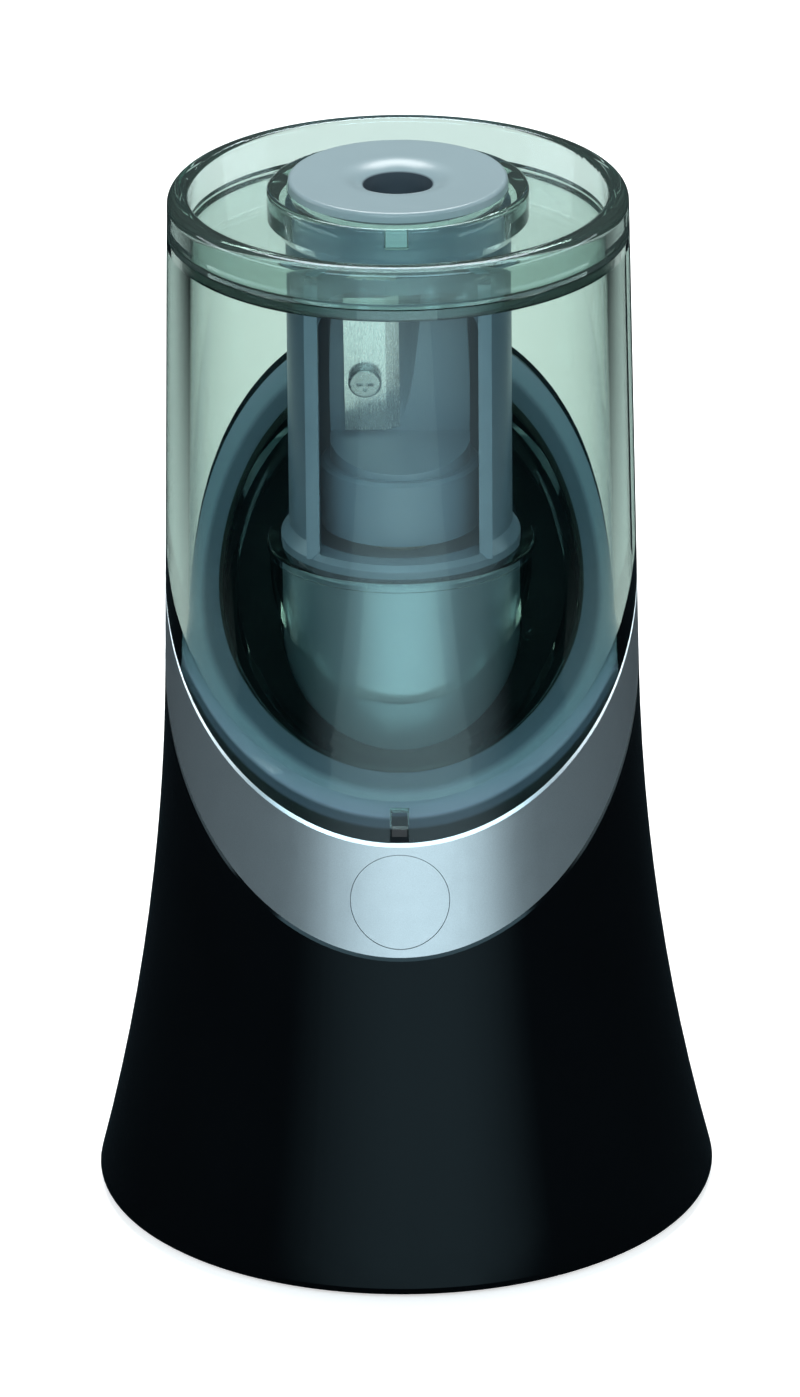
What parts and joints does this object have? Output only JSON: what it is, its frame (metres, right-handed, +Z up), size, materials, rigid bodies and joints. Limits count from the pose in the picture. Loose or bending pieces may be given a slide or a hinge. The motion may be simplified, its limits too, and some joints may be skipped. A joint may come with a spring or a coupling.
{
  "type": "pencil sharpener",
  "caption": "Desk pencil sharpener with a black bell base, slanted silver band, smoke-clear shavings receptacle and lid, grey pencil guide and a powered blade cutter.",
  "frame": {"origin": "On the desk, under the axis of the cutter and the pencil hole.", "axes": "+Z is up along the cutter's axis, the front with the low side of the band faces -Y, +X is to the right of a viewer at the front."},
  "size_m": [0.108, 0.108, 0.186],
  "materials": {
    "gloss_black": "polished black",
    "satin_silver": "satin silver paint",
    "smoke_clear": "clear smoke tint",
    "grey_plastic": "light blue-grey satin",
    "black_plastic": "matte black",
    "white_plastic": "natural moulded",
    "grey_metal": "cast grey",
    "steel": "bright steel",
    "motor_steel": "plated steel",
    "ferrite": "dull dark grey",
    "brass": "machined",
    "cell_case": "printed sleeve, plain dark",
    "foot_rubber": "soft matte"
  },
  "bodies": {
    "base": {"base_housing": "gloss_black", "base_plate": "black_plastic", "rubber_feet": "foot_rubber", "base_screws": "steel", "battery_cells": "cell_case", "contact_plates": "steel", "contact_springs": "steel", "motor_frame": "white_plastic", "frame_screws": "steel", "motor_can": "motor_steel", "motor_magnets": "ferrite", "motor_end_cap": "white_plastic", "motor_terminals": "brass", "motor_screws": "steel", "compound_axle": "steel", "gear_cover": "white_plastic", "cover_screws": "steel", "lower_bush": "brass", "drive_tower": "grey_plastic", "upper_bush": "brass", "tower_screws": "steel", "start_switch": "black_plastic", "trim_ring": "satin_silver", "badge_disc": "satin_silver", "inner_deck": "black_plastic", "deck_screws": "steel", "interlock_switch": "black_plastic"},
    "door": {"battery_door": "black_plastic"},
    "rotor": {"motor_armature": "motor_steel", "motor_commutator": "brass", "motor_shaft": "steel", "motor_pinion": "brass"},
    "idler": {"compound_gear": "white_plastic"},
    "start_carriage": {"thrust_yoke": "white_plastic", "start_button": "white_plastic", "start_spring": "steel"},
    "cutter": {"spindle": "steel", "spindle_gear": "white_plastic", "retaining_clip": "steel", "drive_hub": "grey_metal", "drive_pin": "steel", "cutter_head": "grey_metal", "cutter_blade": "steel", "blade_screw": "steel"},
    "interlock": {"interlock_pin": "white_plastic"},
    "receptacle_body": {"receptacle": "smoke_clear"},
    "lid": {"receptacle_lid": "smoke_clear", "cutter_sleeve": "grey_plastic", "pencil_guide": "grey_plastic"}
  },
  "joints": [
    {"name": "receptacle_lift", "type": "slide", "parent": "base", "child": "receptacle_body", "axis": [0, 0, 1], "range_m": [0, 0.1]},
    {"name": "lid_lift", "type": "slide", "parent": "receptacle_body", "child": "lid", "axis": [0, 0, 1], "range_m": [0, 0.062]},
    {"name": "start_press", "type": "slide", "parent": "base", "child": "start_carriage", "axis": [0, 0, 1], "range_m": [-0.0015, 0], "stiffness_N_per_m": 800, "springref_m": 0.003, "deforming": ["start_spring"]},
    {"name": "cutter_spin", "type": "hinge", "parent": "start_carriage", "child": "cutter", "pos_m": [0, 0, 0.1], "axis": [0, 0, 1], "continuous": true},
    {"name": "idler_spin", "type": "hinge", "parent": "base", "child": "idler", "pos_m": [0, 0.0196, 0.065], "axis": [0, 0, 1], "continuous": true},
    {"name": "rotor_spin", "type": "hinge", "parent": "base", "child": "rotor", "pos_m": [0, 0, 0.045], "axis": [0, 0, 1], "continuous": true},
    {"name": "interlock_press", "type": "slide", "parent": "base", "child": "interlock", "axis": [0, 0, 1], "range_m": [-0.001, 0], "stiffness_N_per_m": 300, "springref_m": 0.002},
    {"name": "door_open", "type": "hinge", "parent": "base", "child": "door", "pos_m": [0, 0.02835, 0.0031], "axis": [1, 0, 0], "range_deg": [0, 95]}
  ],
  "couplings": [
    {"joint": "idler_spin", "follows": "cutter_spin", "ratio": -2.5},
    {"joint": "rotor_spin", "follows": "cutter_spin", "ratio": 7.5}
  ]
}
